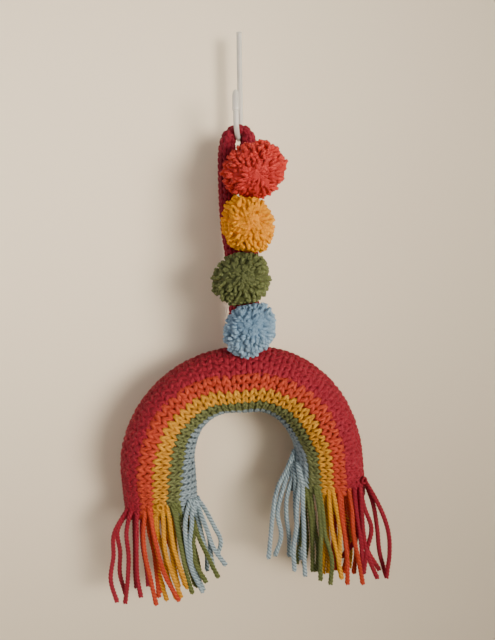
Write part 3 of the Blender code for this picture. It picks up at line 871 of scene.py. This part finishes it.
# Each strand's layer, the heights of its top and its tip, then X at each quarter of its length
FRINGE_MM = {
    ("left", "red"): (
        (0, -296, -354, -73.5, -81.5, -82.5, -84.5, -81),
        (1, -296, -351, -72.5, -80, -79, -79.5, -76.5),
        (0, -296, -355, -71, -74, -73, -74, -76),
        (1, -296, -347, -69.5, -69.5, -69.5, -70, -69.5),
        (0, -296, -351, -67.5, -67.5, -68, -68, -66),
        (2, -298, -348, -65, -66.5, -66, -64, -63),
    ),
    ("left", "orange"): (
        (0, -296, -356, -62, -63.5, -62.5, -59.5, -56.5),
        (3, -296, -352.5, -59, -57, -54, -49.5, -42),
        (1, -296, -350, -61, -60.5, -58, -56, -53.5),
        (2, -298, -344.5, -56, -52.5, -49, -44.5, -39.5),
        (1, -296, -348, -59.5, -59, -57.5, -55.5, -52.5),
        (1, -296, -353, -57.5, -58.5, -57.5, -56.5, -55.5),
    ),
    ("left", "yellow"): (
        (1, -295, -355, -55.5, -57, -57, -54.5, -50.5),
        (1, -295, -354.5, -54, -55, -51.5, -49.5, -44.5),
        (0, -295, -351.5, -51, -51, -50, -46, -41),
        (0, -295, -346, -48, -46.5, -45, -41, -37),
        (1, -295, -347, -52, -49, -47, -45.5, -43),
        (2, -297, -348, -47, -46, -45.5, -43.5, -39.5),
    ),
    ("left", "green"): (
        (0, -294, -349, -44.5, -42.5, -40, -37.5, -34),
        (1, -294, -347, -41, -38.5, -36, -33.5, -31),
        (4, -295, -341, -35, -32, -33, -31.5, -25),
        (4, -295, -338, -36, -32.5, -28.5, -23, -17.5),
        (1, -294, -346, -43, -41.5, -39, -36, -32.5),
        (2, -294, -344, -39, -37.5, -34.5, -31.5, -29.5),
    ),
    ("left", "blue"): (
        (0, -290, -348.5, -34.5, -37.5, -37, -34, -27.5),
        (0, -291, -347, -33, -33.5, -35, -32.5, -27),
        (1, -291, -336.5, -33, -30, -27.5, -25, -25),
        (1, -291, -335.5, -31.5, -27, -23.5, -22.5, -21),
        (0, -290, -331.5, -32, -27.5, -23.5, -20, -13),
        (1, -290, -327, -30.5, -24, -19.5, -16, -18.5),
    ),
    ("right", "blue"): (
        (0, -272, -327.5, 26, 19, 16.5, 15, 13.5),
        (0, -274, -326, 27.5, 22, 19.5, 21.5, 17.5),
        (1, -276, -328, 29.5, 25.5, 25, 26.5, 26.5),
        (0, -279, -335.5, 33.5, 31.5, 31, 29, 29.5),
        (0, -280, -339, 35, 35, 35.5, 35.5, 36),
        (1, -277, -330, 31, 30.5, 31, 32.5, 33.5),
    ),
    ("right", "green"): (
        (1, -281, -337.5, 37, 39, 40.5, 41, 41),
        (1, -284, -332.5, 36.5, 35.5, 34.5, 33, 31),
        (1, -281, -337.5, 39.5, 41, 42.5, 44.5, 43.5),
        (0, -281, -341.5, 42.5, 45, 46, 45.5, 45.5),
        (0, -281, -344, 44.5, 47, 48.5, 52.5, 51.5),
        (2, -284, -335, 38, 37, 37.5, 38, 35.5),
    ),
    ("right", "yellow"): (
        (1, -281, -339, 48.5, 48, 49, 48.5, 47.5),
        (0, -281, -340.5, 51, 51.5, 53, 56, 58.5),
        (0, -281, -334, 52.5, 55, 57.5, 57.5, 57),
        (1, -281, -338.5, 49.5, 50, 50, 51, 50.5),
        (2, -284, -337.5, 54, 60, 64, 65.5, 64.5),
        (2, -284, -339.5, 53, 54.5, 55.5, 56.5, 58),
    ),
    ("right", "orange"): (
        (0, -282, -344, 57, 58, 60.5, 62, 62),
        (1, -282, -338.5, 58.5, 59.5, 61, 62.5, 60),
        (2, -284, -338.5, 56, 55.5, 55.5, 54.5, 55.5),
        (0, -282, -344, 63, 65, 66, 69, 71.5),
        (1, -282, -339, 61.5, 63.5, 66, 68, 66.5),
        (2, -284, -335.5, 60, 61.5, 63.5, 64, 62),
    ),
    ("right", "red"): (
        (0, -279, -340.5, 73, 81.5, 87, 88, 86),
        (1, -279, -340.5, 73, 78.5, 81, 82.5, 86.5),
        (0, -281, -337.5, 70, 72.5, 77, 74, 72),
        (0, -281, -340.5, 70, 71, 72, 74.5, 80.5),
        (1, -281, -337, 68, 69, 71, 74.5, 82.5),
        (1, -281, -329, 66.5, 67, 68, 68, 59),
        (0, -282, -336, 66.5, 67.5, 69.5, 71, 71.5),
        (1, -282, -333, 69, 69.5, 71, 73.5, 79),
    ),
}


def join_tubes(parts):
    """Several results of tubes as one, with the point numbers of the later ones moved up."""
    shift = np.cumsum([0] + [len(part[0]) for part in parts[:-1]])
    points, quads, caps, uv = zip(*parts)
    quads, caps = ([faces + s for faces, s in zip(kind, shift)] for kind in (quads, caps))
    return tuple(np.concatenate(arrays) for arrays in (points, quads, caps, uv))


def plied(paths, yarn_radius, twist, plies, sides, spread):
    """Each path as separate plies wound round it.

    A ply is a helix round the path. It lies as far out as a ply's radius leaves room for, times
    one plus spread, and that radius is what makes neighbours touch. A ply's seam faces away from
    the yarn's middle, so the painted shade on its flanks falls in the grooves between plies.
    """
    along, across, other = path_frame(paths, np.array([0.12, 1.0, 0.05]) + 0 * paths)
    ply_share = math.sin(math.pi / plies) / (1 + math.sin(math.pi / plies))
    parts = []
    for ply in range(plies):
        wind = -2 * math.pi * (along / twist + ply / plies)
        away = np.cos(wind)[..., None] * across + np.sin(wind)[..., None] * other
        offset = (1 - ply_share) * yarn_radius * (1 + spread)
        line = paths + offset[..., None] * away
        radius = np.broadcast_to(ply_share * yarn_radius * 1.04, along.shape)
        parts.append(tubes(line, radius, away, sides, uv_shift=0.37 * ply))
    return join_tubes(parts)


def foot_surface(x, z, leg):
    """Half depth of the arch's foot where it is seen at X and Z, and the height of its end.

    The section at this height is an ellipse, so the half depth falls with the root of one less
    the square of the share of its half width.
    """
    rows = slice(0, 400) if leg == "left" else slice(-400, None)
    level = FINE["z"][rows]
    order = np.argsort(level)
    names = ("x", "half_wide", "half_deep")
    middle, wide, deep = (np.interp(z, level[order], FINE[name][rows][order]) for name in names)
    off = np.clip((x - middle) / (wide * MM), -0.98, 0.98)
    return deep * MM * np.sqrt(1 - off**2), level.min()


def fringe_strand(leg, row, t):
    """Middle line of one strand on the shares t of its length, from where it leaves the knitting.

    X is a smooth curve through the row's five places and Z falls evenly. In depth the strand
    comes out of the knitting, lies on the foot down to its end, and from there goes to the
    layer's place at its tip, with a slight sine. The third layer lies on the back of the foot.
    """
    layer, top, tip, *across = row
    side = 1 if layer == 2 else -1
    x = smooth(across, 4 * np.clip(t, 0, 1)) * MM
    x += (FRINGE_GATHER.get((leg, layer), across[0]) * MM - x) * np.clip(-4 * t, 0, 1)
    z = (top + (tip - top) * t) * MM
    deep, end = foot_surface(x, z, leg)
    leave, last = LAYER_Y[layer]
    loose = leave + (last - leave) * np.clip((end - z) / (end - tip * MM), 0, 1)
    laid = HANG_Y + side * (deep + (0.2 if layer == 1 else 0.8) * MM)
    blend = np.clip((z - end) / FOOT_BLEND, 0, 1)
    blend = blend * blend * (3 - 2 * blend)
    y = loose + (laid - loose) * blend
    y = y - side * ROOT_SINK * np.clip(1 - (t - t[0]) * 22, 0, 1)
    return np.stack([x, y + SWAY * np.sin(11 * t + across[0]), z], -1)


# A small loop of yarn that stands up among the roots of a bunch: its middle X and Z, and radius
KNOT_MM = {("left", "yellow"): (-51.9, -292.8, 1.7), ("right", "red"): (73.0, -279.6, 1.4)}
KNOT_YARN = 0.75 * MM
KNOT_POINTS = 26


def knot_loop(leg, x, z, radius):
    """A loop of yarn round this place: an upright ellipse laid on the foot of the arch."""
    turn = np.linspace(0.3, 2 * math.pi + 0.3, KNOT_POINTS)
    loop_x = (x + radius * np.cos(turn)) * MM
    loop_z = (z + 1.25 * radius * np.sin(turn)) * MM
    deep, _ = foot_surface(loop_x, loop_z, leg)
    path = np.stack([loop_x, HANG_Y - deep - 1.6 * MM, loop_z], -1)[None]
    girth = np.full((1, KNOT_POINTS), KNOT_YARN)
    return tubes(path, girth, 0 * path + np.array([0.0, -1.0, 0.0]), PLY_SIDES)


# Where each bunch begins, as a share of its length, less than nothing being above its top. The
# others begin a little above it on the left, and at it on the right.
FRINGE_START = {("right", "blue"): -0.2, ("left", "red"): 0.0, ("left", "blue"): 0.0}
shares = np.linspace(0, 1, STRAND_POINTS)
tip_girth = np.where(shares > 0.985, 0.86, 1.0) * (1 + 0.06 * np.clip(shares - 0.9, 0, 1) * 10)
tip_spread = 0.22 * np.clip((shares - 0.92) / 0.08, 0, 1) ** 2
for (leg, colour), rows in FRINGE_MM.items():
    above = FRINGE_START.get((leg, colour), -0.06 if leg == "left" else 0.0)
    strands = np.stack([fringe_strand(leg, row, above + (1 - above) * shares) for row in rows])
    parts = plied(strands, FRINGE_YARN * tip_girth, FRINGE_TWIST, PLIES, PLY_SIDES, tip_spread)
    if (leg, colour) in KNOT_MM:
        parts = join_tubes([parts, knot_loop(leg, *KNOT_MM[leg, colour])])
    node = "fringe_{}_{}".format(leg, colour)
    fringe = add_mesh(node + "_yarn", *parts, painted_shade=np.zeros(len(parts[0])))
    strand = "strand_" + colour
    if strand not in bpy.data.materials:
        yarn_material(strand, STRAND_TINTS[colour], ridge=0.1, bump_depth=0.15 * MM, flank=0.85)
    fringe.data.materials.append(bpy.data.materials[strand])
    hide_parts(node)
    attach(fringe, "root")


# Stage: a pale wall just behind the arch and a pale floor far under it. A narrow soft light from
# the right throws the shadows, and weak wide ones fill them from the left, the front and behind.
WALL_Y = 14.0 * MM
WALL_HALF = 1.6
FLOOR_Z = -0.62
WALL_COLOUR = (0.96, 0.815, 0.60)
# Painted light falloff on the wall and the floor, darker towards the right and the bottom
# The wall's brightness changes along X and Z, between these two places, from one value to the other
WALL_FADES = (("X", (-0.06, 0.22, 1.0, 0.77)), ("Z", (-0.42, 0.0, 0.73, 1.05)))


def stage_plane(name, corners, colour):
    """A cloudy sheet of the stage with painted light falloff, clear from behind, so that it hides no
    other view.
    """
    mesh = bpy.data.meshes.new(name)
    mesh.from_pydata(corners, [], [(0, 1, 2, 3)])
    plane = bpy.data.objects.new(name, mesh)
    bpy.context.scene.collection.objects.link(plane)
    material, nodes, links, shader = new_material(name, 0.8)
    tint = nodes.new("ShaderNodeValToRGB")
    tint.color_ramp.elements[0].color = (*(0.96 * c for c in colour), 1)
    tint.color_ramp.elements[1].color = (*colour, 1)
    links.new(noise(nodes, links, 3), tint.inputs["Fac"])
    place = nodes.new("ShaderNodeTexCoord")
    split = nodes.new("ShaderNodeSeparateXYZ")
    links.new(place.outputs["Object"], split.inputs["Vector"])
    painted_falloff = nodes.new("ShaderNodeMix")
    painted_falloff.data_type = "RGBA"
    painted_falloff.blend_type = "MULTIPLY"
    painted_falloff.inputs[0].default_value = 1.0
    painted_shades = nodes.new("ShaderNodeMath")
    painted_shades.operation = "MULTIPLY"
    for factor, (axis, ends) in zip(painted_shades.inputs, WALL_FADES):
        fade = nodes.new("ShaderNodeMapRange")
        fade.interpolation_type = "SMOOTHSTEP"
        for number, value in enumerate(ends):
            fade.inputs[number + 1].default_value = value
        links.new(split.outputs[axis], fade.inputs[0])
        links.new(fade.outputs[0], factor)
    links.new(tint.outputs["Color"], painted_falloff.inputs[6])
    links.new(painted_shades.outputs[0], painted_falloff.inputs[7])
    links.new(painted_falloff.outputs[2], shader.inputs["Base Color"])
    side = nodes.new("ShaderNodeNewGeometry")
    clear = nodes.new("ShaderNodeBsdfTransparent")
    blend = nodes.new("ShaderNodeMixShader")
    links.new(side.outputs["Backfacing"], blend.inputs["Fac"])
    links.new(shader.outputs["BSDF"], blend.inputs[1])
    links.new(clear.outputs["BSDF"], blend.inputs[2])
    links.new(blend.outputs["Shader"], nodes["Material Output"].inputs["Surface"])
    mesh.materials.append(material)


for name, near, far in (
    ("wall", (WALL_Y, FLOOR_Z), (WALL_Y, WALL_HALF)),
    ("floor", (-2 * WALL_HALF, FLOOR_Z), (2 * WALL_HALF, FLOOR_Z)),
):
    left, right = -WALL_HALF, WALL_HALF
    stage_plane(name, [(left, *near), (right, *near), (right, *far), (left, *far)], WALL_COLOUR)


def area_light(name, place, aim, size, power, colour, spread):
    """A square soft light at place, turned towards aim, its beam narrower where spread is small."""
    data = bpy.data.lights.new(name, "AREA")
    data.size = size
    data.energy = power
    data.spread = math.radians(spread)
    data.color = colour
    light = bpy.data.objects.new(name, data)
    light.location = place
    light.rotation_mode = "QUATERNION"
    light.rotation_quaternion = (Vector(aim) - Vector(place)).to_track_quat("-Z", "Y")
    bpy.context.scene.collection.objects.link(light)


# Each light's name, place, aim, width, power, colour, and the spread of its beam in degrees
MIDDLE = (0.0, -0.01, -0.2)
for light_row in (
    ("window_light", (0.79, -1.1, -0.14), (-0.25, 0.0, -0.11), 0.74, 3.4, (1.0, 0.93, 0.83), 38),
    ("fill_light", (-1.15, -0.24, -0.1), MIDDLE, 0.8, 5.8, (1.0, 0.92, 0.95), 180),
    ("front_light", (0.2, -1.3, -0.1), MIDDLE, 1.8, 4.8, (0.95, 0.97, 1.0), 180),
    ("back_light", (0.3, 1.2, 0.3), MIDDLE, 1.0, 9, (1.0, 0.97, 0.93), 180),
):
    area_light(*light_row)
world = bpy.data.worlds.new("soft_room")
world.use_nodes = True
world.node_tree.nodes["Background"].inputs["Color"].default_value = (0.92, 0.95, 1.0, 1)
world.node_tree.nodes["Background"].inputs["Strength"].default_value = 0.2
bpy.context.scene.world = world
